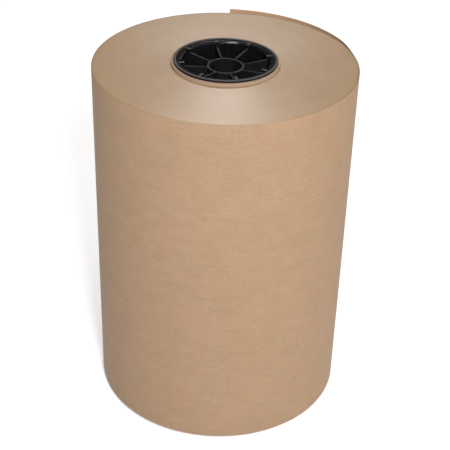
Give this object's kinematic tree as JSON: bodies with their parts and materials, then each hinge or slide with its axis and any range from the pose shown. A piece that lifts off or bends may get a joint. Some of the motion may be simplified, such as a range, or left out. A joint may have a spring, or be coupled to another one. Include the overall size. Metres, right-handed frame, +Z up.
{
  "type": "wrapping paper roll",
  "caption": "Roll of plain kraft wrapping paper wound on a board core, with its loose end lifted and a moulded plug with a rod bore in each end.",
  "frame": {"origin": "on the roll's axis, on the surface that the lower plug's lip stands on", "axes": "+Z up the roll's axis towards the upper plug, +Y towards the loose end of the web, +X towards the line where the last turn lets go of the roll"},
  "size_m": [0.216, 0.2243, 0.3132],
  "materials": {
    "kraft_paper": "uncoated, slightly mottled",
    "core_board": "raw spiral-wound board",
    "tape_film": "translucent film tape",
    "plug_plastic": "black moulded, satin gloss"
  },
  "bodies": {
    "roll": {"wound_paper": "kraft_paper", "core_tube": "core_board", "start_tape": "tape_film"},
    "upper_plug": {"upper_core_plug": "plug_plastic"},
    "lower_plug": {"lower_core_plug": "plug_plastic"},
    "tail": {"paper_tail": "kraft_paper"}
  },
  "joints": [
    {"name": "upper_plug_pull", "type": "slide", "parent": "roll", "child": "upper_plug", "axis": [0, 0, 1], "range_m": [0, 0.045]},
    {"name": "lower_plug_pull", "type": "slide", "parent": "roll", "child": "lower_plug", "axis": [0, 0, -1], "range_m": [0, 0.045]},
    {"name": "tail_lift", "type": "hinge", "parent": "roll", "child": "tail", "pos_m": [0.10749, 0.0132, 0.1566], "axis": [0, 0, -1], "range_deg": [-4.2, 35], "stiffness_Nm_per_rad": 0.004}
  ]
}
